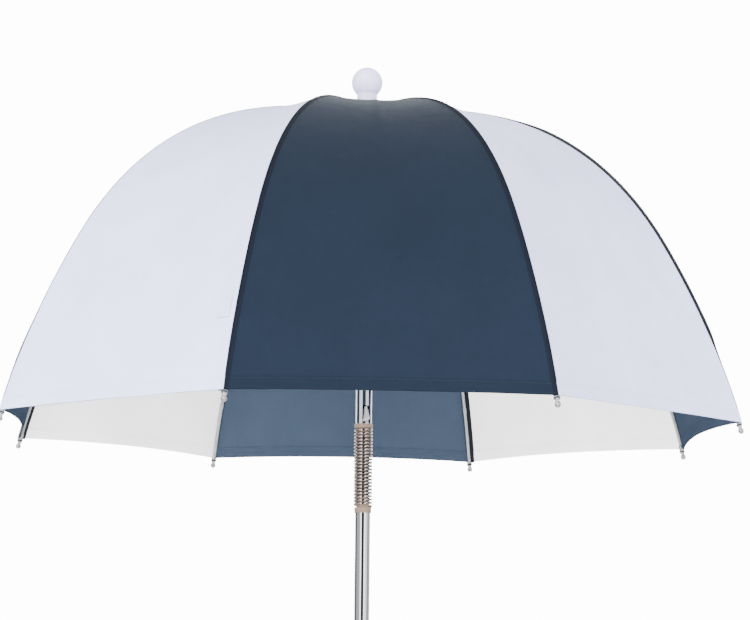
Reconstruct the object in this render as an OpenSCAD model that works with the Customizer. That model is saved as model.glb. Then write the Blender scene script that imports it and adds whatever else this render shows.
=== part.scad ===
// Open golf umbrella: deep eight-panel dome on a metal shaft with a coil flex spring.
// Z is up, the origin is the middle of the butt's underside, millimetres.

/* [Canopy] */
// Length of one rib along its curve
rib_length = 503; // [490:1:510]
// Diameter of a rib rod
rib_d = 3; // [2.6:0.1:3.4]
// Thickness drawn for the cloth
cloth = 0.8; // [0.6:0.1:1]
// Where each rib's flexing point lies, counted in eighths of its length
flex_at = 3; // [3:1:3]

/* [Shaft] */
// Height of the rib hinges above the butt
crown_z = 1151; // [1149:1:1160]
// Diameter of the lower tube
lower_d = 14; // [13.6:0.1:14.2]
// Diameter of the upper tube
upper_d = 15.2; // [15:0.1:15.4]
// Wall of both tubes
wall = 1; // [0.8:0.1:1.2]
// Diameter of the ball cap
ball_d = 29; // [27:0.5:31]

/* [Flex spring] */
// Outer diameter of the coil
spring_d = 17.4; // [17:0.1:17.6]
// Diameter of the spring wire
wire_d = 2.4; // [2:0.1:2.6]
// Number of turns
turns = 23; // [20:1:26]

/* [Runner and stretchers] */
// Height of the runner's pivots below the crown when open
runner_drop = 78; // [78:1:78]
// Length of the runner's barrel below its pivots
barrel = 43.9; // [40:0.1:43.9]
// Where the stretcher meets the rib, along the rib
bracket_at = 118; // [116:1:120]

/* [Grip] */
// Diameter of the grip
grip_d = 26; // [24:0.5:28]
// Length of the grip
grip_len = 180; // [160:5:200]

/* [Hidden] */
$fn = 48;

// The rib's downward slope, in degrees, at each eighth of its length
slopes = [-6, 5, 17.5, 33, 47.5, 59.5, 64.5, 68.5, 75];
// How far the cloth's underside lies from the middle of a rib
lift = rib_d / 2 + 0.6;
arcs = len(slopes) - 1;
step = rib_length / arcs;
hinge_r = 10.2;
half = 180 / arcs;
lower_r = lower_d / 2;
upper_r = upper_d / 2;
coil_r = (spring_d - wire_d) / 2;
// The spring's two ends, and the collars beyond them
spring_z0 = 785.5;
spring_z1 = 858.7;
runner_r = 12;
runner_z = crown_z - runner_drop;
catch_az = -78;
bottom_catch_z = 866;
top_catch_z = runner_z - barrel - 0.1;
navy = [0.24, 0.30, 0.38];
white = [0.88, 0.88, 0.93];
metal = [0.75, 0.76, 0.78];
light = [0.80, 0.80, 0.80];
dark = [0.16, 0.16, 0.17];
tan_ = [0.72, 0.63, 0.55];

// Along the rib: slope, bend radius and position as [radius, height below crown]
function slope(s) = let (i = min(floor(s / step), arcs - 1))
  slopes[i] + (slopes[i + 1] - slopes[i]) * (s / step - i);
function bend(i) = step * 180 / PI / (slopes[i + 1] - slopes[i]);
function knot(i) = i == 0 ? [hinge_r, 0] : arc_end(knot(i - 1), i - 1, slopes[i]);
function arc_end(p, i, a) = p + bend(i) * [sin(a) - sin(slopes[i]), cos(a) - cos(slopes[i])];
function at(s) = let (i = min(floor(s / step), arcs - 1)) arc_end(knot(i), i, slope(s));
function out(s, off) = at(s) + off * [sin(slope(s)), cos(slope(s))];

// Places its children in the vertical plane of one bearing, local x outward, z up from the crown
module bearing(az) { rotate([0, 0, az]) translate([0, 0, crown_z]) children(); }
// A pin or eye across that plane, at p = [radius, height]
module cross(p, r, w) {
  translate([p[0], 0, p[1]]) rotate([90, 0, 0]) cylinder(r = r, h = w, center = true);
}
// One length of rod that follows the rib's curve between two distances in one eighth
module rod(i, s0, s1) {
  a0 = slope(s0);
  a1 = i + 1 == s1 / step ? slopes[i + 1] : slope(s1);
  c = knot(i) - bend(i) * [sin(slopes[i]), cos(slopes[i])];
  translate([c[0], 0, c[1]]) rotate([90, 0, 0]) rotate([0, 0, 90 - a1])
    rotate_extrude(angle = a1 - a0, $fn = 96) translate([bend(i), 0]) circle(d = rib_d, $fn = 24);
}

// The ferrule that binds two lengths of rod together
module ferrule(i) {
  p = knot(i);
  translate([p[0], 0, p[1]]) rotate([0, 90 + slopes[i], 0])
    cylinder(r = rib_d / 2 + 0.3, h = 5, center = true);
}

module lower_tube() color(metal) difference() {
  translate([0, 0, 12]) cylinder(r = lower_r, h = spring_z0 - 13.5);
  translate([0, 0, 11]) cylinder(r = lower_r - wall, h = spring_z0);
}

module grip() color(dark) difference() {
  union() {
    translate([0, 0, 12]) cylinder(d = grip_d, h = grip_len - 22);
    translate([0, 0, grip_len - 10]) cylinder(d1 = grip_d, d2 = grip_d - 6, h = 10);
  }
  translate([0, 0, 11]) cylinder(r = lower_r, h = grip_len);
  for (z = [30 : 6 : grip_len - 24]) translate([0, 0, z]) rotate_extrude()
    translate([grip_d / 2 + 0.4, 0]) circle(r = 1.2, $fn = 24);
}

module butt_cap() color(dark) {
  difference() {
    union() {
      translate([0, 0, 4]) cylinder(d = grip_d + 2, h = 8);
      cylinder(d1 = grip_d - 6, d2 = grip_d + 2, h = 4);
    }
    translate([0, 0, 9]) cylinder(r = 3, h = 4);
  }
  translate([0, 0, 11.9]) difference() {
    cylinder(r = lower_r - wall, h = 22);
    translate([0, 0, -1]) cylinder(r = 3, h = 24);
  }
}

// The collar that seats one end of the coil; the tube goes in from below
module collar(tube_r, r, h, plug) difference() {
  union() {
    cylinder(r = r, h = h);
    translate([0, 0, h - 1.5 - plug]) cylinder(r = tube_r - wall, h = plug + 1);
    cylinder(r = coil_r - wire_d / 2 - 0.3, h = h + 9);
  }
  difference() {
    translate([0, 0, -1 - plug]) cylinder(r = tube_r, h = h - 0.5 + plug);
    translate([0, 0, -2 - plug]) cylinder(r = tube_r - wall, h = h + 1 + plug);
  }
  translate([0, 0, -plug - 2]) cylinder(r = 2.5, h = plug + h + 20);
}
module lower_collar() color(tan_) translate([0, 0, spring_z0 - 5]) collar(lower_r, 7.8, 5, 20);
module upper_collar() color(tan_) translate([0, 0, spring_z1 + 3.7]) mirror([0, 0, 1])
  collar(upper_r, 8.5, 3.7, 2.2);

// The coil: half rings, each tilted so that it climbs half a pitch, with level ends that meet
module flex_spring() color([0.66, 0.62, 0.58]) {
  climb = (spring_z1 - spring_z0 - wire_d - 0.2) / turns / 2;
  tilt = atan(climb / (2 * coil_r));
  for (n = [0 : 2 * turns - 1]) translate([0, 0, spring_z0 + 0.1 + wire_d / 2 + n * climb]) {
    translate([0, 0, climb / 2]) rotate([0, 0, 180 * (n % 2)]) rotate([0, tilt, 0])
      rotate_extrude(angle = 180) translate([coil_r / cos(tilt), 0]) circle(d = wire_d, $fn = 24);
    // a slight swell over each joint of two half rings
    translate([coil_r * (n % 2 == 0 ? 1 : -1), 0, 0]) rotate([90, 0, 0])
      cylinder(d = wire_d + 0.16, h = 1, center = true, $fn = 24);
  }
}

// The cable that keeps the two tubes together through the coil
module flex_cable() color(metal) {
  translate([0, 0, spring_z0 - 28]) cylinder(r = 2.45, h = spring_z1 - spring_z0 + 32.6);
  translate([0, 0, spring_z0 - 30]) cylinder(r = 4.5, h = 4);
  // the sleeve between the two collars' spigots
  translate([0, 0, spring_z0 + 9.4]) cylinder(r = 5.6, h = spring_z1 - spring_z0 - 18.8);
}

module slot_at(z0, z1, w) rotate([0, 0, catch_az]) translate([4.5, -w / 2, z0]) cube([9, w, z1 - z0]);

module upper_tube() color(metal) difference() {
  translate([0, 0, spring_z1 + 1.5]) cylinder(r = upper_r, h = crown_z + 26.5 - spring_z1);
  translate([0, 0, spring_z1]) cylinder(r = upper_r - wall, h = crown_z + 40 - spring_z1);
  slot_at(bottom_catch_z - 2, bottom_catch_z + 13, 5.9);
  slot_at(top_catch_z - 13, top_catch_z + 2, 5.9);
}

module top_notch() color(light) translate([0, 0, crown_z]) difference() {
  union() {
    translate([0, 0, -8]) cylinder(r = 13.2, h = 9.2);
    translate([0, 0, -16]) cylinder(r1 = 9.4, r2 = 10.4, h = 8);
  }
  translate([0, 0, -17]) cylinder(r = upper_r, h = 20);
  rotate_extrude() translate([hinge_r, 0]) circle(d = 1.3, $fn = 24);
  for (k = [0 : arcs - 1]) rotate([0, 0, 45 * k + half])
    translate([8.1, -1.25, -9]) cube([9, 2.5, 12]);
}

module crown_wire() color(metal) translate([0, 0, crown_z])
  rotate_extrude() translate([hinge_r, 0]) circle(d = 1.2, $fn = 24);

module ball_cap() color(white) translate([0, 0, crown_z]) difference() {
  union() {
    translate([0, 0, 33.4]) sphere(d = ball_d, $fn = 96);
    translate([0, 0, 2.3]) cylinder(r = 9.4, h = 22);
  }
  translate([0, 0, 1]) cylinder(r = upper_r, h = 27.1);
}

module runner() color(light) difference() {
  union() {
    translate([0, 0, runner_z - barrel]) cylinder(r = 10, h = barrel);
    translate([0, 0, runner_z - 4]) cylinder(r = 14.6, h = 7.6);
    translate([0, 0, runner_z - 10]) cylinder(r1 = 10, r2 = 12.4, h = 6);
    translate([0, 0, runner_z - barrel]) cylinder(r = 11.6, h = 2.2);
    for (z = [16 : 5 : 26]) translate([0, 0, runner_z - z]) rotate_extrude()
      translate([9.7, 0]) circle(r = 0.9, $fn = 24);
  }
  translate([0, 0, runner_z - barrel - 1]) cylinder(r = upper_r + 0.06, h = barrel + 10);
  translate([0, 0, runner_z]) rotate_extrude() translate([runner_r, 0]) circle(d = 1.3, $fn = 24);
  for (k = [0 : arcs - 1]) rotate([0, 0, 45 * k + half])
    translate([10.05, -1.2, runner_z - 11]) cube([9, 2.4, 20]);
  slot_at(runner_z - barrel + 2.6, runner_z - barrel + 15.6, 6.4);
}

module runner_wire() color(metal) translate([0, 0, runner_z])
  rotate_extrude() translate([runner_r, 0]) circle(d = 1.2, $fn = 24);

// A sprung leaf: its flat edge holds the runner and its ramp lets the runner ride over
module leaf() rotate([0, 0, catch_az]) intersection() {
  rotate([90, 0, 0]) linear_extrude(height = 6, center = true)
    polygon([[5.4, -1.5], [6.5, -1.5], [6.5, 0], [11, 0], [11, 1.6], [7, 12.2], [5.4, 12.2]]);
  translate([0, 0, -2]) rotate([90, 0, 90]) linear_extrude(height = 14)
    polygon([[-2.7, 0], [2.7, 0], [2.7, 3.6], [0.8, 15], [-0.8, 15], [-2.7, 3.6]]);
}
module bottom_catch() color(metal) translate([0, 0, bottom_catch_z]) leaf();
module top_catch() color(metal) translate([0, 0, top_catch_z]) mirror([0, 0, 1]) leaf();

// The inner length of a rib: crown eye, rod, stretcher bracket, and the tongue at the flexing point
module rib_inner(k) color(light) bearing(45 * k + half) {
  b = out(bracket_at, -4);
  j = knot(flex_at);
  difference() {
    union() {
      cross([hinge_r, 0], 1.9, 2.2);
      translate([hinge_r + 0.4, -1.1, -1.3]) cube([10, 2.2, 2.6]);
      rod(0, 9, step);
      for (i = [1 : flex_at - 2]) rod(i, i * step, (i + 1) * step);
      for (i = [1 : flex_at - 1]) ferrule(i);
      rod(flex_at - 1, (flex_at - 1) * step, flex_at * step - 3);
      cross(j, 1.4, 1.1);
      translate([j[0], 0, j[1]]) rotate([0, slopes[flex_at] - 0.6, 0])
        translate([-4.4, -0.55, -1.1]) cube([4.4, 1.1, 2.2]);
      cross(j, 0.6, 3.2);
      cross(b, 2.2, 1.7);
      translate([b[0], 0, b[1]]) rotate([0, slope(bracket_at), 0])
        translate([-1.9, -0.75, 0]) cube([3.8, 1.5, 4]);
      cross(b, 0.8, 5);
    }
    cross([hinge_r, 0], 0.69, 4);
  }
}

// The outer length of a rib: fork at the flexing point, rod, and the metal ball tip
module rib_outer(k) color(light) bearing(45 * k + half) {
  j = knot(flex_at);
  tip = at(rib_length);
  difference() {
    union() {
      cross(j, 1.6, 3.2);
      translate([j[0], 0, j[1]]) rotate([0, slopes[flex_at] + 0.6, 0])
        translate([0, -1.6, -1.6]) cube([6, 3.2, 3.2]);
      rod(flex_at, flex_at * step + 5, (flex_at + 1) * step);
      for (i = [flex_at + 1 : arcs - 1]) {
        rod(i, i * step, (i + 1) * step);
        ferrule(i);
      }
      translate([tip[0], 0, tip[1]]) sphere(r = 2.4);
      translate([tip[0], 0, tip[1]]) rotate([0, 90 + slopes[arcs], 0])
        translate([0, 0, -9]) cylinder(r = 1.75, h = 9);
    }
    cross(j, 0.66, 6);
    translate([j[0], 0, j[1]]) rotate([0, slopes[flex_at] + 0.6, 0])
      translate([-3, -0.65, -3]) cube([5.2, 1.3, 6]);
  }
}

// A stretcher: eye on the runner's wire, rod, and a fork over the rib's bracket
module stretcher(k) color(metal) bearing(45 * k + half) {
  a = [runner_r, -runner_drop];
  b = out(bracket_at, -4);
  len_ = norm(b - a);
  translate([a[0], 0, a[1]]) rotate([0, -atan2(b[1] - a[1], b[0] - a[0]), 0]) difference() {
    union() {
      cross([0, 0], 1.8, 2);
      translate([0.5, -1, -1.2]) cube([9, 2, 2.4]);
      translate([8, 0, 0]) rotate([0, 90, 0]) cylinder(r = 1.3, h = len_ - 15);
      translate([len_ - 9, -2.1, -1.6]) cube([9, 4.2, 3.2]);
      cross([len_, 0], 1.6, 4.2);
    }
    cross([0, 0], 0.69, 4);
    cross([len_, 0], 0.86, 8);
    translate([len_ - 4.6, -0.95, -3]) cube([9, 1.9, 6]);
  }
}

// The wedge of space that one panel may fill
module wedge() translate([0, 0, -400]) linear_extrude(height = 420)
  polygon([[0.6, 0], [400, 399.4 * tan(half)], [400, -399.4 * tan(half)]]);

// A band of one panel: the rib's curve, raised clear of the ribs, drawn straight from rib to rib
module band(k, s0, s1, n) color(k % 2 == 0 ? navy : white) bearing(45 * k) intersection() {
  wedge();
  rotate([90, 0, 0]) linear_extrude(height = 300, center = true) polygon([
    for (m = [0 : n]) let (p = out(s0 + (s1 - s0) * m / n, lift)) [p[0] * cos(half), p[1]],
    for (m = [n : -1 : 0]) let (p = out(s0 + (s1 - s0) * m / n, lift + cloth))
      [p[0] * cos(half), p[1]]
  ]);
}
module panel_upper(k) band(k, 1.5, flex_at * step - 0.15, 14);
module panel_lower(k) band(k, flex_at * step + 0.15, rib_length - 8, 20);

// The closing strap's stitched end, on the cloth beside a seam
module closing_strap() color(white) bearing(225) {
  p = out(420, lift + cloth);
  translate([p[0] * cos(half), p[0] * sin(half) - 12, p[1]])
    rotate([0, atan2(sin(slope(420)), cos(slope(420)) * cos(half)), 0])
      translate([-10, -7, 0.05]) cube([20, 14, 1]);
}

lower_tube();
grip();
butt_cap();
lower_collar();
flex_spring();
flex_cable();
upper_tube();
upper_collar();
top_notch();
ball_cap();
crown_wire();
runner();
runner_wire();
top_catch();
bottom_catch();
closing_strap();
for (k = [0 : 7]) {
  rib_inner(k);
  rib_outer(k);
  stretcher(k);
  panel_upper(k);
  panel_lower(k);
}
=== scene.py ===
"""Open golf umbrella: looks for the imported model. Metres, +Z up, origin under the butt."""
import math

import bpy
import numpy as np
from mathutils import Euler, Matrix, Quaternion, Vector


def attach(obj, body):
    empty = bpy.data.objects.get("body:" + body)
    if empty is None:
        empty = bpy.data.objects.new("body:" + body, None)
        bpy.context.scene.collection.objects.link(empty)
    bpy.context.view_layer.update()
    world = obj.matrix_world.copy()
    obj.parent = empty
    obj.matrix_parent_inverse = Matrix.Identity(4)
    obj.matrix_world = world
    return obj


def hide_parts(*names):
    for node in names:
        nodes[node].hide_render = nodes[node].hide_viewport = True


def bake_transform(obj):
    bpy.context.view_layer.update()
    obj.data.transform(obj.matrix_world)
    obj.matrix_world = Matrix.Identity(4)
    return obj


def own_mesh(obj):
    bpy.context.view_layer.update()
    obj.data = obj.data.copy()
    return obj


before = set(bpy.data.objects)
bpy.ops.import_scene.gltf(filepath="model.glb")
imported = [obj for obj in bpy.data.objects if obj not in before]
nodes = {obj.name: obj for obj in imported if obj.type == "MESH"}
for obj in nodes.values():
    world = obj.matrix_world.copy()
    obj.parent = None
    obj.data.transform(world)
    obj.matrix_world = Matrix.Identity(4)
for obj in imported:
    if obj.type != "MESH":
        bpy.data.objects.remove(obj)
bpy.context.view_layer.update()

# ---------------------------------------------------------------- the part's own measures
PANELS = 8
CROWN_Z = 1.151
RIB_LENGTH = 0.503
HINGE_R = 0.0102  # from the shaft's axis to a rib's hinge
SLOPES = np.radians([-6, 5, 17.5, 33, 47.5, 59.5, 64.5, 68.5, 75])  # the rib's slope at equal steps along it
ARCS = len(SLOPES) - 1
STEP = RIB_LENGTH / ARCS
HALF = math.pi / PANELS  # half the angle between two ribs
FOLD_S = 3 * STEP  # from the crown to where the rib flexes
COIL_R, WIRE_R, TURNS = 0.0075, 0.0012, 23
COIL_Z0, COIL_Z1 = 0.7855, 0.8587

# ---------------------------------------------------------------- the cloth's shape
MID = 0.0025  # from a rib's middle to the middle of the cloth
CLOTH = 0.0005  # thickness
HEM_S = RIB_LENGTH - 0.008  # from the crown to the hem, along a rib
HEM_RISE = 0.005  # how much shorter the hem is half way between two ribs
SAG_TOP, SAG_HEM, SAG_POWER = 0.0034, 0.0062, 1.3
RIPPLE = 0.00045
CREASE, CREASE_WIDTH = 0.0006, 0.004  # the storage crease down each panel's middle
BILLOW, BILLOW_WIDTH = 0.0098, 0.030  # slack cloth beside the front seams
BILLOW_SPAN = {0: (0.04, 0.475), 4: (0.36, 0.492)}  # panel: where it starts and ends, along the rib


def knots():
    """Where each arc of the rib's curve starts, as radius and height from the crown."""
    p, out = np.array([HINGE_R, 0.0]), []
    for i in range(ARCS):
        out.append(p)
        b = STEP / (SLOPES[i + 1] - SLOPES[i])
        p = p + b * np.array([math.sin(SLOPES[i + 1]) - math.sin(SLOPES[i]),
                              math.cos(SLOPES[i + 1]) - math.cos(SLOPES[i])])
    return np.array(out)


KNOTS = knots()


def along(s):
    """Radius, height and slope of the rib's curve at each distance in s."""
    s = np.asarray(s, float)
    i = np.clip((s / STEP).astype(int), 0, ARCS - 1)
    b = STEP / (SLOPES[i + 1] - SLOPES[i])
    a = SLOPES[i] + (s / STEP - i) * (SLOPES[i + 1] - SLOPES[i])
    r = KNOTS[i, 0] + b * (np.sin(a) - np.sin(SLOPES[i]))
    z = KNOTS[i, 1] + b * (np.cos(a) - np.cos(SLOPES[i])) + CROWN_Z
    return r, z, a


def smooth(x):
    x = np.clip(x, 0, 1)
    return x * x * (3 - 2 * x)


def gore(k, s, u, off=0.0):
    """A point of panel k's cloth at distance s from the crown and u across, -1 to 1 from rib to rib."""
    s, u = np.broadcast_arrays(np.asarray(s, float), np.asarray(u, float))
    r, z, a = along(s)
    r, z = r + MID * np.sin(a), z + MID * np.cos(a)
    lower = np.clip((s - FOLD_S) / (RIB_LENGTH - FOLD_S), 0, 1)
    sag = SAG_TOP * smooth(s / 0.07) + SAG_HEM * lower ** SAG_POWER
    ripple = (RIPPLE * smooth(s / 0.3) * np.cos(7.3 * u + 0.9 * k + 5 * s)
              * np.cos(3.1 * u - 1.3 * k))
    crease = (CREASE * smooth(s / 0.05) * smooth((0.33 - s) / 0.2)
              * np.exp(-(u * r * math.sin(HALF) / CREASE_WIDTH) ** 2))
    push = (ripple - sag) * (1 - u * u) + crease + off
    if k in BILLOW_SPAN:
        # the front seam is at u = -1 on panel 0 and at u = 1 on panel 4
        x = (1 + u if k == 0 else 1 - u) * r * math.sin(HALF) / BILLOW_WIDTH
        low, high = BILLOW_SPAN[k]
        push = push + (BILLOW * smooth((s - low) / 0.14) * smooth((high - s) / 0.07)
                       * x * np.exp(1 - x))
    cos_h = math.cos(HALF)
    tilt = np.arctan2(np.sin(a), np.cos(a) * cos_h)
    out = r * cos_h + push * np.sin(tilt)
    side = u * r * math.sin(HALF)
    up = z + push * np.cos(tilt)
    c, d = math.cos(math.radians(45 * k)), math.sin(math.radians(45 * k))
    return np.stack([out * c - side * d, out * d + side * c, up], -1)


def hem_end(u):
    return HEM_S - HEM_RISE * (1 - u * u)


def normals_of(fn, s, u):
    e, f = 1e-4, 1e-3
    n = np.cross(fn(s + e, u) - fn(s - e, u),
                 fn(s, np.clip(u + f, -1, 1)) - fn(s, np.clip(u - f, -1, 1)))
    return n / np.linalg.norm(n, axis=-1, keepdims=True)


# ---------------------------------------------------------------- meshes
def mesh_object(name, points, faces, uv=None, normals=None, slots=None, kinds=None):
    me = bpy.data.meshes.new(name)
    me.from_pydata([tuple(p) for p in points], [], [tuple(f) for f in faces])
    me.update()
    ob = bpy.data.objects.new(name, me)
    bpy.context.scene.collection.objects.link(ob)
    for m in slots or []:
        me.materials.append(m)
    if kinds is not None:
        me.polygons.foreach_set("material_index", kinds)
    me.polygons.foreach_set("use_smooth", [True] * len(me.polygons))
    if uv is not None:
        layer = me.uv_layers.new(name="metres")
        idx = np.zeros(len(me.loops), int)
        me.loops.foreach_get("vertex_index", idx)
        layer.data.foreach_set("uv", np.asarray(uv, np.float32)[idx].ravel())
    if normals is not None:
        me.normals_split_custom_set_from_vertices([tuple(n) for n in normals])
    return ob


def shell(name, fn, s, u, top, under, uv, slots):
    """A closed thin sheet on the surface fn(s, u, off), with grid arrays s and u.

    Its outside has slot 0 and its inside slot 1.
    """
    rows, cols = s.shape
    n = normals_of(fn, s, u)
    outward = fn(s, u, 1e-3) - fn(s, u)
    n *= np.sign((n * outward).sum(-1).mean())
    pts = np.concatenate([fn(s, u, top).reshape(-1, 3), fn(s, u, under).reshape(-1, 3)])
    size = rows * cols
    faces, kinds = [], []
    for i in range(rows - 1):
        for j in range(cols - 1):
            a, b = i * cols + j, i * cols + j + 1
            c, d = (i + 1) * cols + j + 1, (i + 1) * cols + j
            faces += [(a, d, c, b), (a + size, b + size, c + size, d + size)]
            kinds += [0, 1]
    edge = ([j for j in range(cols)]
            + [i * cols + cols - 1 for i in range(1, rows)]
            + [(rows - 1) * cols + j for j in range(cols - 2, -1, -1)]
            + [i * cols for i in range(rows - 2, 0, -1)])
    for a, b in zip(edge, edge[1:] + edge[:1]):
        faces.append((a, b, b + size, a + size))
        kinds.append(0)
    first = faces[0]
    v = np.cross(pts[first[1]] - pts[first[0]], pts[first[2]] - pts[first[0]])
    if v @ outward.reshape(-1, 3)[0] < 0:
        faces = [f[::-1] for f in faces]
    flat_n = n.reshape(-1, 3)
    uvs = np.concatenate([uv.reshape(-1, 2)] * 2)
    return mesh_object(name, pts, faces, uvs, np.concatenate([flat_n, -flat_n]), slots, kinds)


def lathe(name, profile, steps, slots, place):
    """A turned form from (radius, height) pairs, moved by the matrix place."""
    pts, faces = [], []
    ring = len(profile)
    for i in range(steps):
        t = 2 * math.pi * i / steps
        pts += [Vector((r * math.cos(t), r * math.sin(t), z)) for r, z in profile]
    for i in range(steps):
        j = (i + 1) % steps
        for m in range(ring - 1):
            n = m + 1
            faces.append((i * ring + m, j * ring + m, j * ring + n, i * ring + n))
    ob = mesh_object(name, pts, faces, slots=slots)
    weld = ob.modifiers.new("weld", "WELD")
    weld.merge_threshold = 1e-6
    ob.data.transform(place)
    return ob


def sweep(name, path, radius, sides, slots):
    """A round wire along a path, with closed ends. The radius is one value, or one for each point."""
    path = np.asarray(path, float)
    t = np.gradient(path, axis=0)
    t /= np.linalg.norm(t, axis=1, keepdims=True)
    n = np.cross(t[0], [0.3, 0.5, 0.81])
    pts, faces = [], []
    for p, d, r in zip(path, t, np.broadcast_to(radius, (len(path),))):
        n = n - (n @ d) * d
        n /= np.linalg.norm(n)
        b = np.cross(d, n)
        for i in range(sides):
            turn = 2 * math.pi * i / sides
            pts.append(p + r * (math.cos(turn) * n + math.sin(turn) * b))
    for i in range(len(path) - 1):
        for j in range(sides):
            k = (j + 1) % sides
            faces.append((i * sides + j, i * sides + k, (i + 1) * sides + k, (i + 1) * sides + j))
    faces += [tuple(range(sides))[::-1], tuple(range((len(path) - 1) * sides, len(path) * sides))]
    return mesh_object(name, pts, faces, slots=slots)


# ---------------------------------------------------------------- materials
STITCH = 0.0028  # from one stitch to the next
STITCH_HALF = 0.00035  # half a stitch's width
THREAD = 0.0011  # from one thread of the weave to the next but one


def material(name, colour, rough, metal=0.0, **more):
    m = bpy.data.materials.new(name)
    m.use_nodes = True
    nt = m.node_tree
    b = nt.nodes["Principled BSDF"]
    b.inputs["Base Color"].default_value = (*colour, 1)
    b.inputs["Roughness"].default_value = rough
    b.inputs["Metallic"].default_value = metal
    for key, value in more.items():
        b.inputs[key.replace("_", " ")].default_value = value
    return m, nt, b


def add(nt, kind, **values):
    n = nt.nodes.new(kind)
    for key, value in values.items():
        if hasattr(n, key):
            setattr(n, key, value)
        else:
            n.inputs[key].default_value = value
    return n


def vary(nt, b, colour, amount, scale):
    """Uneven colour: noise takes the base colour up and down by a share of itself."""
    tc = add(nt, "ShaderNodeTexCoord")
    noise = add(nt, "ShaderNodeTexNoise", Scale=scale, Detail=5.0, Roughness=0.6)
    nt.links.new(tc.outputs["Object"], noise.inputs["Vector"])
    ramp = add(nt, "ShaderNodeValToRGB")
    dark, light = ramp.color_ramp.elements
    dark.position, light.position = 0.3, 0.7
    dark.color = (*[c * (1 - amount) for c in colour], 1)
    light.color = (*[min(1, c * (1 + amount)) for c in colour], 1)
    nt.links.new(noise.outputs["Fac"], ramp.inputs["Fac"])
    nt.links.new(ramp.outputs["Color"], b.inputs["Base Color"])
    return tc, noise, ramp


def fabric(name, colour, rows=(), haze=1.0, sheen=0.10, tint=(1, 1, 1)):
    """Woven cloth. rows are distances across the sewn strip, in metres, at which stitches run."""
    m, nt, b = material(name, colour, 0.62)
    b.inputs["Sheen Weight"].default_value = sheen * haze
    b.inputs["Sheen Tint"].default_value = (*tint, 1)
    b.inputs["Sheen Roughness"].default_value = 0.4
    b.inputs["Specular IOR Level"].default_value = 0.30 * haze
    tc, noise, ramp = vary(nt, b, colour, 0.10, 16)
    uv = tc.outputs["UV"]
    sep = add(nt, "ShaderNodeSeparateXYZ")
    nt.links.new(uv, sep.inputs[0])

    def op(kind, x, y=None):
        n = add(nt, "ShaderNodeMath", operation=kind)
        for socket, v in zip(n.inputs, (x, y)):
            if isinstance(v, (int, float)):
                socket.default_value = v
            elif v is not None:
                nt.links.new(v, socket)
        return n.outputs[0]

    # the grain runs along the two thread directions, over the soft unevenness
    grain = None
    for stretch in ((900, 22, 1), (22, 900, 1)):
        mapped = add(nt, "ShaderNodeMapping")
        mapped.inputs["Scale"].default_value = stretch
        nt.links.new(uv, mapped.inputs["Vector"])
        streak = add(nt, "ShaderNodeTexNoise", Scale=1.0, Detail=2.0)
        nt.links.new(mapped.outputs["Vector"], streak.inputs["Vector"])
        fac = streak.outputs["Fac"]
        grain = fac if grain is None else op("ADD", grain, fac)
    wide = op("ADD", op("MULTIPLY", noise.outputs["Fac"], 0.62), op("MULTIPLY", grain, 0.19))
    nt.links.new(wide, ramp.inputs["Fac"])

    # soft folds first, then the weave, then the stitches
    folds = add(nt, "ShaderNodeTexNoise", Scale=13.0, Detail=2.5, Roughness=0.45, Distortion=0.6)
    nt.links.new(tc.outputs["Object"], folds.inputs["Vector"])
    soft = add(nt, "ShaderNodeBump", Strength=0.42, Distance=0.0045)
    nt.links.new(folds.outputs["Fac"], soft.inputs["Height"])
    wave = 2 * math.pi / THREAD
    weave = op("MULTIPLY", op("SINE", op("MULTIPLY", sep.outputs["X"], wave)),
               op("SINE", op("MULTIPLY", sep.outputs["Y"], wave)))
    last = add(nt, "ShaderNodeBump", Strength=0.35, Distance=0.00012)
    nt.links.new(weave, last.inputs["Height"])
    nt.links.new(soft.outputs["Normal"], last.inputs["Normal"])
    if rows:
        stitch = None
        for at in rows:
            near = op("LESS_THAN", op("ABSOLUTE", op("SUBTRACT", sep.outputs["X"], at)), STITCH_HALF)
            stitch = near if stitch is None else op("MAXIMUM", stitch, near)
        dash = op("GREATER_THAN", op("FRACT", op("DIVIDE", sep.outputs["Y"], STITCH)), 0.3)
        stitch = op("MULTIPLY", stitch, dash)
        mix = add(nt, "ShaderNodeMix", data_type="RGBA")
        nt.links.new(stitch, mix.inputs["Factor"])
        nt.links.new(ramp.outputs["Color"], mix.inputs[6])
        mix.inputs[7].default_value = (*[min(1, c * 1.15 + 0.0015) for c in colour], 1)
        nt.links.new(mix.outputs[2], b.inputs["Base Color"])
        groove = add(nt, "ShaderNodeBump", Strength=0.8, Distance=0.0004)
        nt.links.new(stitch, groove.inputs["Height"])
        nt.links.new(last.outputs["Normal"], groove.inputs["Normal"])
        last = groove
    nt.links.new(last.outputs["Normal"], b.inputs["Normal"])
    return m


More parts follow.
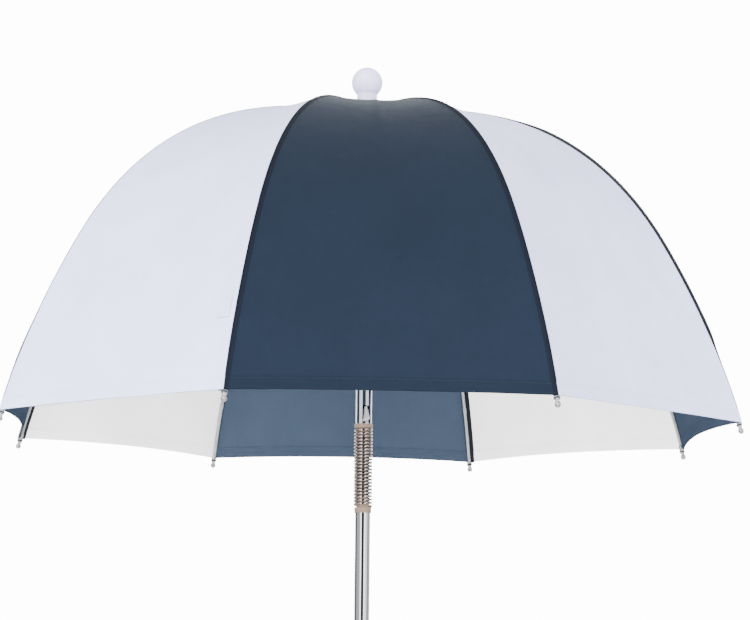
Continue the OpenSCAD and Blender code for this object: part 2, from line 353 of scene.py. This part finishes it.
def hard(name, colour, rough, metal=0.0, amount=0.05, scale=60, bump=0.0,
         stretch=(1, 1, 1), spread=0.08, **more):
    """Metal or moulded plastic: uneven colour and roughness, and a fine surface texture."""
    m, nt, b = material(name, colour, rough, metal, **more)
    tc, noise, _ = vary(nt, b, colour, amount, scale)
    mapping = add(nt, "ShaderNodeMapping")
    mapping.inputs["Scale"].default_value = stretch
    nt.links.new(tc.outputs["Object"], mapping.inputs["Vector"])
    nt.links.new(mapping.outputs["Vector"], noise.inputs["Vector"])
    ranged = add(nt, "ShaderNodeMapRange")
    ranged.inputs["To Min"].default_value = max(0, rough - spread)
    ranged.inputs["To Max"].default_value = min(1, rough + spread)
    nt.links.new(noise.outputs["Fac"], ranged.inputs["Value"])
    nt.links.new(ranged.outputs["Result"], b.inputs["Roughness"])
    if bump:
        fine = add(nt, "ShaderNodeTexNoise", Scale=scale * 18, Detail=3.0)
        nt.links.new(mapping.outputs["Vector"], fine.inputs["Vector"])
        bm = add(nt, "ShaderNodeBump", Strength=0.4, Distance=bump)
        nt.links.new(fine.outputs["Fac"], bm.inputs["Height"])
        nt.links.new(bm.outputs["Normal"], b.inputs["Normal"])
    return m


# The inside colours are much lighter than the outside ones: painted light, standing in for light that passes
# through the thin cloth.
NAVY, NAVY_IN_PAINTED_LIGHT = (0.0052, 0.0088, 0.0168), (0.030, 0.042, 0.063)
NAVY_SHINE = {"haze": 0.25, "sheen": 0.26, "tint": (0.72, 0.84, 1.0)}
WHITE, WHITE_IN_PAINTED_LIGHT = (0.59, 0.61, 0.96), (0.95, 0.925, 0.99)
SEAM_ROWS, HEM_ROWS = (-0.0027, 0.0027), (0.0088,)
navy = fabric("cloth_navy_outside", NAVY, **NAVY_SHINE)
navy_in_painted_light = fabric("cloth_navy_inside_painted_light", NAVY_IN_PAINTED_LIGHT, haze=0.0)
white, white_in_painted_light = fabric("cloth_white_outside", WHITE), fabric("cloth_white_inside_painted_light", WHITE_IN_PAINTED_LIGHT)
# The seam's navy is darker than the panel's: painted shade along each seam.
seam = fabric("seam_navy_painted_shade", (0.0037, 0.0053, 0.0097), SEAM_ROWS, haze=0.20)
# The seam's inside is lighter than its outside: painted light through the cloth.
seam_in_painted_light = fabric("seam_tape_painted_light", (0.022, 0.031, 0.048), SEAM_ROWS, haze=0.0)
allowance = fabric("allowance_navy_inside", (0.0124, 0.0135, 0.0172), (-0.0058,), haze=0.0)
# The hem's navy outside is darker than the panel's: painted shade, offsetting the extra lamp light that
# falls on the hem.
hem_navy = [fabric("hem_navy", (0.0045, 0.0077, 0.0147), HEM_ROWS, **NAVY_SHINE),
            # Lighter than the outside: painted light through the cloth.
            fabric("hem_navy_inside_painted_light", (0.028, 0.039, 0.059), HEM_ROWS, haze=0.0)]
hem_white = [fabric("hem_white", (0.575, 0.605, 0.94), HEM_ROWS),
             # Lighter than the outside: painted light through the cloth.
             fabric("hem_white_inside_painted_light", (0.93, 0.905, 0.97), HEM_ROWS)]
patch_white = fabric("patch_white", (0.57, 0.60, 0.94), (-0.0055, 0.0055))
thread = fabric("tie_thread", (0.02, 0.025, 0.04))
chrome = hard("tube_chrome", (0.62, 0.63, 0.65), 0.07, 1.0, 0.05, 40, 0.000002, (60, 60, 1.5), 0.03)
spring_mat = hard("spring_wire", (0.53, 0.45, 0.41), 0.07, 1.0, 0.12, 90, 0.000002, spread=0.03)
core_mat = hard("cable_sleeve", (0.045, 0.036, 0.032), 0.5, 0.0, 0.15, 120, 0.00002)
wire_mat = hard("plain_wire", (0.62, 0.62, 0.64), 0.30, 1.0, 0.1, 120, 0.000005)
tan_mat = hard("collar_tan", (0.15, 0.108, 0.075), 0.42, 0.0, 0.12, 120, 0.00002)
rib_mat = hard("rib_fibreglass", (0.235, 0.25, 0.255), 0.34, 0.0, 0.10, 50, 0.00002, (3, 3, 3))
stretcher_mat = hard("stretcher_zinc", (0.60, 0.61, 0.63), 0.34, 1.0, 0.12, 80, 0.00001)
nylon = hard("nylon_white", (0.74, 0.74, 0.77), 0.45, 0.0, 0.04, 60, 0.00002)
cap_mat = hard("cap_white", (0.73, 0.73, 0.98), 0.30, 0.0, 0.03, 45, 0.00001,
               Coat_Weight=0.25, Coat_Roughness=0.2)
grip_mat = hard("grip_foam", (0.022, 0.022, 0.025), 0.78, 0.0, 0.25, 70, 0.00012)
butt_mat = hard("butt_plastic", (0.03, 0.03, 0.033), 0.42, 0.0, 0.15, 80, 0.00003)

CARRIED = {"lower_tube": chrome, "upper_tube": chrome, "grip": grip_mat, "butt_cap": butt_mat,
           "lower_collar": tan_mat, "upper_collar": tan_mat, "top_notch": nylon,
           "ball_cap": cap_mat, "crown_wire": wire_mat, "runner": nylon, "runner_wire": wire_mat,
           "top_catch": wire_mat, "bottom_catch": wire_mat}
for name, ob in nodes.items():
    if name.startswith("rib"):
        finish = rib_mat
    elif name.startswith("stretcher"):
        finish = stretcher_mat
    else:
        finish = CARRIED.get(name)
    if finish is None:
        continue
    if not ob.material_slots:
        ob.data.materials.append(finish)
    for slot in ob.material_slots:
        slot.material = finish


# ---------------------------------------------------------------- cloth
def soften(ob, body):
    """Gives the piece its own mesh, and lets it ride on a panel's body."""
    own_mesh(ob)
    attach(ob, body)


CROWN_GAP = 0.0022  # where the cloth starts, along the rib
ACROSS = np.linspace(-1, 1, 41)
HEM_BAND = np.array([-0.0105, -0.0100, -0.006, -0.003, 0.0002, 0.0008])  # rows, from the hem's end
HEM_LAYER = 0.0006  # half the hem's thickness

for k in range(PANELS):
    def cloth(s, u, off=0.0, k=k):
        return gore(k, s, u, off)
    dark = k % 2 == 0
    for part, s0, rows in (("upper", CROWN_GAP, 26), ("lower", FOLD_S, 44)):
        v = np.linspace(0, 1, rows)[:, None]
        end = FOLD_S if part == "upper" else hem_end(ACROSS)[None]
        s = s0 + v * (end - s0) + 0 * ACROSS[None]
        u = ACROSS[None] + 0 * s
        uv = np.stack([u * along(s)[0] * math.sin(HALF), s], -1)
        ob = shell(f"canopy_{k}_{part}", cloth, s, u, CLOTH / 2, -CLOTH / 2, uv,
                   [navy, navy_in_painted_light] if dark else [white, white_in_painted_light])
        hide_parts(f"panel_{k}_{part}")
        soften(ob, f"panel_{k}_{part}")
    # the hem: a turned edge with a row of stitches
    s = hem_end(ACROSS)[None] + HEM_BAND[:, None]
    u = ACROSS[None] + 0 * s
    uv = np.stack([hem_end(ACROSS)[None] - s, u * along(s)[0] * math.sin(HALF)], -1)
    ob = shell(f"hem_{k}", cloth, s, u, HEM_LAYER, -HEM_LAYER, uv, hem_navy if dark else hem_white)
    soften(ob, f"panel_{k}_lower")


# ---------------------------------------------------------------- seams
# across the strip: from just past the seam on the white side to its edge on the navy side
SEAM_X = np.array([-0.0006, 0.0, 0.0006, 0.0012, 0.0020, 0.0028, 0.0035, 0.0038])
SEAM_CROWN, SEAM_MID, SEAM_HALF = 0.00022, 0.0016, 0.0022  # its rise, and the rise's middle and half width
SEAM_TOP, SEAM_UNDER = 0.00062, -0.0005
LAP = 0.0008  # how far the two lengths of a seam overlap at the fold
ALLOWANCE_X = np.linspace(-0.0072, 0.0004, 9)  # the raw edge inside
ALLOWANCE_TOP, ALLOWANCE_UNDER = -0.0003, -0.0009


def seam_point(k, s, x, off=0.0):
    """x metres to one side of rib k's seam: panel k for x below 0, panel k + 1 above."""
    s, x = np.broadcast_arrays(np.asarray(s, float), np.asarray(x, float))
    half = along(s)[0] * math.sin(HALF)
    left = gore(k, s, 1 - np.minimum(-np.minimum(x, 0) / half, 0.8), off)
    right = gore((k + 1) % PANELS, s, -1 + np.minimum(np.maximum(x, 0) / half, 0.8), off)
    w = smooth((x + 0.0012) / 0.0024)[..., None]
    return left * (1 - w) + right * w


for k in range(PANELS):
    def strip(s, x, off=0.0, k=k):
        return seam_point(k, s, x, off)
    # outside, the seam is turned to the navy panel: panel k where k is even, panel k + 1 where it is odd
    side = -1 if k % 2 == 0 else 1
    x1 = np.sort(side * SEAM_X)
    for part, s0, s1, rows in (("inner", 0.004, FOLD_S + LAP, 24),
                               ("outer", FOLD_S - LAP, HEM_S + 0.0012, 40)):
        s = np.linspace(s0, s1, rows)[:, None] + 0 * x1[None]
        x = x1[None] * smooth(0.25 + s / 0.05)
        crown = SEAM_CROWN * np.clip(1 - ((x - side * SEAM_MID) / SEAM_HALF) ** 2, 0, 1)

        def ridge(ss, xx, off=0.0, strip=strip, crown=crown):
            lift = crown if np.shape(ss) == crown.shape else 0
            return strip(ss, xx, off + (lift if np.all(off > 0) else 0))
        ob = shell(f"seam_{k}_{part}", ridge, s, x, SEAM_TOP, SEAM_UNDER,
                   np.stack([x, s], -1), [seam, seam_in_painted_light])
        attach(ob, f"rib_{k}_{part}")
        if k % 2:
            # inside, the raw edges all lie to the same hand, which here is the white panel's side
            x = ALLOWANCE_X[None] * smooth(0.25 + s[:, :1] / 0.05)
            t = s[:, :1] + 0 * x
            ob = shell(f"allowance_{k}_{part}", strip, t, x, ALLOWANCE_TOP, ALLOWANCE_UNDER,
                       np.stack([x, t], -1), [allowance] * 2)
            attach(ob, f"rib_{k}_{part}")

# ---------------------------------------------------------------- the closing strap's sewn end
PATCH_PANEL, PATCH_S, PATCH_U = 5, 0.420, 0.885
PATCH_LONG, PATCH_WIDE = 0.010, 0.0075  # half its length and half its width
PATCH_TOP, PATCH_UNDER = 0.0011, 0.0002


def patch(s, u, off=0.0):
    return gore(PATCH_PANEL, s, u, off)


half = float(along(PATCH_S)[0]) * math.sin(HALF)
s = PATCH_S + np.linspace(-PATCH_LONG, PATCH_LONG, 12)[:, None] + np.zeros((1, 10))
u = PATCH_U + np.linspace(-PATCH_WIDE, PATCH_WIDE, 10)[None] / half + 0 * s
uv = np.stack([(u - PATCH_U) * half, s], -1)
ob = shell("closing_patch", patch, s, u, PATCH_TOP, PATCH_UNDER, uv, [patch_white] * 2)
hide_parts("closing_strap")
soften(ob, f"panel_{PATCH_PANEL}_lower")

# ---------------------------------------------------------------- rib tips
# radius and distance past the rib's end, from the ball's far side back to the end of the socket
TIP = [(0.0, 0.0027), (0.0011, 0.0025), (0.0020, 0.0017), (0.00255, 0.0006), (0.00255, -0.0006),
       (0.0021, -0.0016), (0.0014, -0.0024), (0.00135, -0.0032), (0.0019, -0.0036),
       (0.0022, -0.0042), (0.0022, -0.0110), (0.0020, -0.0118), (0.0016, -0.0120)]
TIE_R, TIE_AT, TIE_PITCH = 0.00255, -0.0062, 0.0004
TIE_STEPS, TIE_POINTS = 24, 76  # points to a turn, and in all
r_t, z_t, a_t = (float(x) for x in along(RIB_LENGTH - 1e-9))
for k in range(PANELS):
    az = math.radians(45 * k) + HALF
    out = Vector((math.cos(az), math.sin(az), 0))
    down = (out * math.cos(a_t) + Vector((0, 0, -math.sin(a_t)))).normalized()
    place = Vector((0, 0, 1)).rotation_difference(down).to_matrix().to_4x4()
    place.translation = out * r_t + Vector((0, 0, z_t))
    ob = lathe(f"tip_{k}", TIP, 28, [wire_mat], place)
    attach(ob, f"rib_{k}_outer")
    # three turns of thread that tie the corner of the cloth to the tip
    loops = []
    for i in range(TIE_POINTS):
        t = 2 * math.pi * i / TIE_STEPS
        loops.append(place @ Vector((TIE_R * math.cos(t), TIE_R * math.sin(t),
                                     TIE_AT + TIE_PITCH * i / TIE_STEPS)))
    ob = sweep(f"tie_{k}", loops, 0.0003, 8, [thread])
    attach(ob, f"rib_{k}_outer")

# ---------------------------------------------------------------- coil and cable
CABLE_R, SLEEVE_R = 0.00245, 0.0056
CABLE_BELOW, CABLE_ABOVE = 0.028, 0.0046  # how far the cable runs past the coil's ends
SLEEVE_IN = 0.0094  # how far inside the coil's ends its sleeve stops


def coil(z0, z1):
    span = COIL_Z1 - COIL_Z0 - 2 * WIRE_R
    n = int(TURNS * (z1 - z0) / span * 32)
    z = np.linspace(z0, z1, n)
    t = 2 * math.pi * TURNS * (z - COIL_Z0 - WIRE_R) / span
    return np.stack([COIL_R * np.cos(t), COIL_R * np.sin(t), z], -1)


MID_Z = (COIL_Z0 + COIL_Z1) / 2
for part, z0, z1, a, b in (("lower", COIL_Z0, MID_Z, "lower_shaft", "flex_coil"),
                           ("upper", MID_Z, COIL_Z1, "flex_coil", "upper_shaft")):
    low = part == "lower"
    wire = coil(z0 + WIRE_R, z1) if low else coil(z0, z1 - WIRE_R)
    ob = sweep(f"coil_{part}", wire, WIRE_R, 14, [spring_mat])
    if low:
        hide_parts("flex_spring")
    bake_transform(ob)
    heights = (np.linspace(COIL_Z0 - CABLE_BELOW, MID_Z, 120) if low
               else np.linspace(MID_Z, COIL_Z1 + CABLE_ABOVE, 120))
    sleeved = (heights > COIL_Z0 + SLEEVE_IN) & (heights < COIL_Z1 - SLEEVE_IN)
    ob = sweep(f"cable_{part}", [(0, 0, z) for z in heights],
               np.where(sleeved, SLEEVE_R, CABLE_R), 24, [core_mat])
    if low:
        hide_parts("flex_cable")
    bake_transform(ob)

# ---------------------------------------------------------------- crown washer
# a scalloped ring of cloth round the cap's neck, over the panels' inner ends
WASHER_IN, WASHER_WIDE, SCALLOP, SCALLOPS = 0.00945, 0.0065, 0.0006, 16
WASHER_LIFT, WASHER_LAYER = 0.0036, 0.0003
rings, steps = 7, 96
pts = []
for layer in (1, -1):
    for i in range(rings):
        for j in range(steps):
            t = 2 * math.pi * j / steps
            f = i / (rings - 1)
            r = WASHER_IN + f * (WASHER_WIDE + SCALLOP * math.cos(SCALLOPS * t))
            _, z, _ = along(max(0.0, r - HINGE_R))
            pts.append((r * math.cos(t), r * math.sin(t),
                        float(z) + WASHER_LIFT + (0.0005 - 0.0006 * f) + WASHER_LAYER * layer))
faces = []
n, last = rings * steps, (rings - 1) * steps
for i in range(rings - 1):
    for j in range(steps):
        a, b = i * steps + j, i * steps + (j + 1) % steps
        c, d = b + steps, a + steps
        faces += [(a, d, c, b), (a + n, b + n, c + n, d + n)]
for j in range(steps):
    k = (j + 1) % steps
    faces += [(j, k, k + n, j + n), (last + k, last + j, last + j + n, last + k + n)]
# The washer is cloth in the seam's navy, which is darkened as painted shade.
ob = mesh_object("crown_washer", pts, faces, uv=[(p[0], p[1]) for p in pts], slots=[seam])
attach(ob, "upper_shaft")

# ---------------------------------------------------------------- camera
DISTANCE, RISE, AZIMUTH = 2.4226, -0.226, 0.0685  # metres from the axis and above the tips; radians
PITCH, YAW, ROLL = 0.1419, 0.0039, 0.010  # radians
LENS = 126.5  # mm, on a sensor 36 mm wide
cam = bpy.data.objects.new("camera", bpy.data.cameras.new("camera"))
bpy.context.scene.collection.objects.link(cam)
cam.data.sensor_width = 36
cam.data.lens = LENS
cam.location = (-DISTANCE * math.sin(AZIMUTH), -DISTANCE * math.cos(AZIMUTH), z_t + RISE)
cam.rotation_mode = "QUATERNION"
cam.rotation_quaternion = (Euler((math.pi / 2 + PITCH, 0, -(AZIMUTH + YAW))).to_quaternion()
                           @ Quaternion((0, 0, 1), ROLL))
cam.data.clip_end = 100
bpy.context.scene.camera = cam

# ---------------------------------------------------------------- floor
FLOOR_HALF, FLOOR_GREY = 30, 0.93
corners = [(x * FLOOR_HALF, y * FLOOR_HALF, 0) for x, y in ((-1, -1), (1, -1), (1, 1), (-1, 1))]
floor = mesh_object("floor", corners, [(0, 1, 2, 3)])
floor_mat, floor_nodes, floor_shader = material("floor_pale", (FLOOR_GREY,) * 3, 0.9)
vary(floor_nodes, floor_shader, (FLOOR_GREY,) * 3, 0.01, 2)
floor.data.materials.append(floor_mat)
floor.visible_glossy = False  # so that bright metal reflects the world's bands below, not a white floor

# ---------------------------------------------------------------- world
# White to the camera, an even white to the cloth, and light and dark bands to mirror-like surfaces. The
# bands go by compass direction and repeat every half turn, so that each side has them.
LIT, SEEN, BANDS_LIT = 2.3, 14.0, 2.4
BANDS = ((0.0, 0.14), (0.225, 0.16), (0.287, 0.30), (0.333, 1.0), (0.369, 0.80), (0.41, 0.01),
         (0.59, 0.01), (0.631, 0.80), (0.667, 1.0), (0.705, 0.25), (0.756, 0.02), (0.872, 0.03),
         (1.0, 0.12))  # share of the half turn, grey
world = bpy.data.worlds.new("studio")
bpy.context.scene.world = world
world.use_nodes = True
wnt = world.node_tree
back = wnt.nodes["Background"]
direction = add(wnt, "ShaderNodeTexCoord")
split = add(wnt, "ShaderNodeSeparateXYZ")
wnt.links.new(direction.outputs["Generated"], split.inputs[0])
compass = add(wnt, "ShaderNodeMath", operation="ARCTAN2")
wnt.links.new(split.outputs["Y"], compass.inputs[0])
wnt.links.new(split.outputs["X"], compass.inputs[1])
for kind, number in (("DIVIDE", math.pi), ("ADD", 1.0), ("FRACT", None)):
    following = add(wnt, "ShaderNodeMath", operation=kind)
    wnt.links.new(compass.outputs[0], following.inputs[0])
    if number is not None:
        following.inputs[1].default_value = number
    compass = following
band = add(wnt, "ShaderNodeValToRGB")
band.color_ramp.interpolation = "EASE"
for i, (share, grey) in enumerate(BANDS):
    stop = band.color_ramp.elements[i] if i < 2 else band.color_ramp.elements.new(share)
    stop.position, stop.color = share, (grey, grey, grey * 1.01, 1)
wnt.links.new(compass.outputs[0], band.inputs["Fac"])
gain = add(wnt, "ShaderNodeVectorMath", operation="SCALE")
gain.inputs["Scale"].default_value = BANDS_LIT
wnt.links.new(band.outputs["Color"], gain.inputs[0])
ray = add(wnt, "ShaderNodeLightPath")
show = add(wnt, "ShaderNodeMix", data_type="RGBA")
wnt.links.new(ray.outputs["Is Glossy Ray"], show.inputs["Factor"])
show.inputs[6].default_value = (1.0, 1.0, 1.0, 1)
wnt.links.new(gain.outputs[0], show.inputs[7])
wnt.links.new(show.outputs[2], back.inputs[0])
power = add(wnt, "ShaderNodeMapRange")
power.inputs["To Min"].default_value, power.inputs["To Max"].default_value = LIT, SEEN
wnt.links.new(ray.outputs["Is Camera Ray"], power.inputs["Value"])
wnt.links.new(power.outputs["Result"], back.inputs[1])


# ---------------------------------------------------------------- lamps
def lamp(name, place, target, size, watts):
    """A round lamp that lights the object and stays out of the camera's view."""
    data = bpy.data.lights.new(name, "AREA")
    data.shape, data.size, data.energy = "DISK", size, watts
    ob = bpy.data.objects.new(name, data)
    bpy.context.scene.collection.objects.link(ob)
    ob.location = place
    ob.rotation_mode = "QUATERNION"
    ob.rotation_quaternion = (Vector(target) - Vector(place)).to_track_quat("-Z", "Y")
    ob.visible_camera = False
    return ob


lamp("key", (-1.6, -2.2, 2.6), (0, 0, 1.0), 1.6, 66)
low_front = lamp("low_front", (-0.3, -1.7, 0.58), (0, 0.1, 1.0), 0.9, 84)
low_front.visible_glossy = False  # so that it leaves no spot on the tube
lamp("fill", (2.2, -1.6, 1.2), (0, 0, 1.0), 2.0, 20)
lamp("rim", (0.6, 2.4, 2.2), (0, 0, 1.0), 1.6, 30)
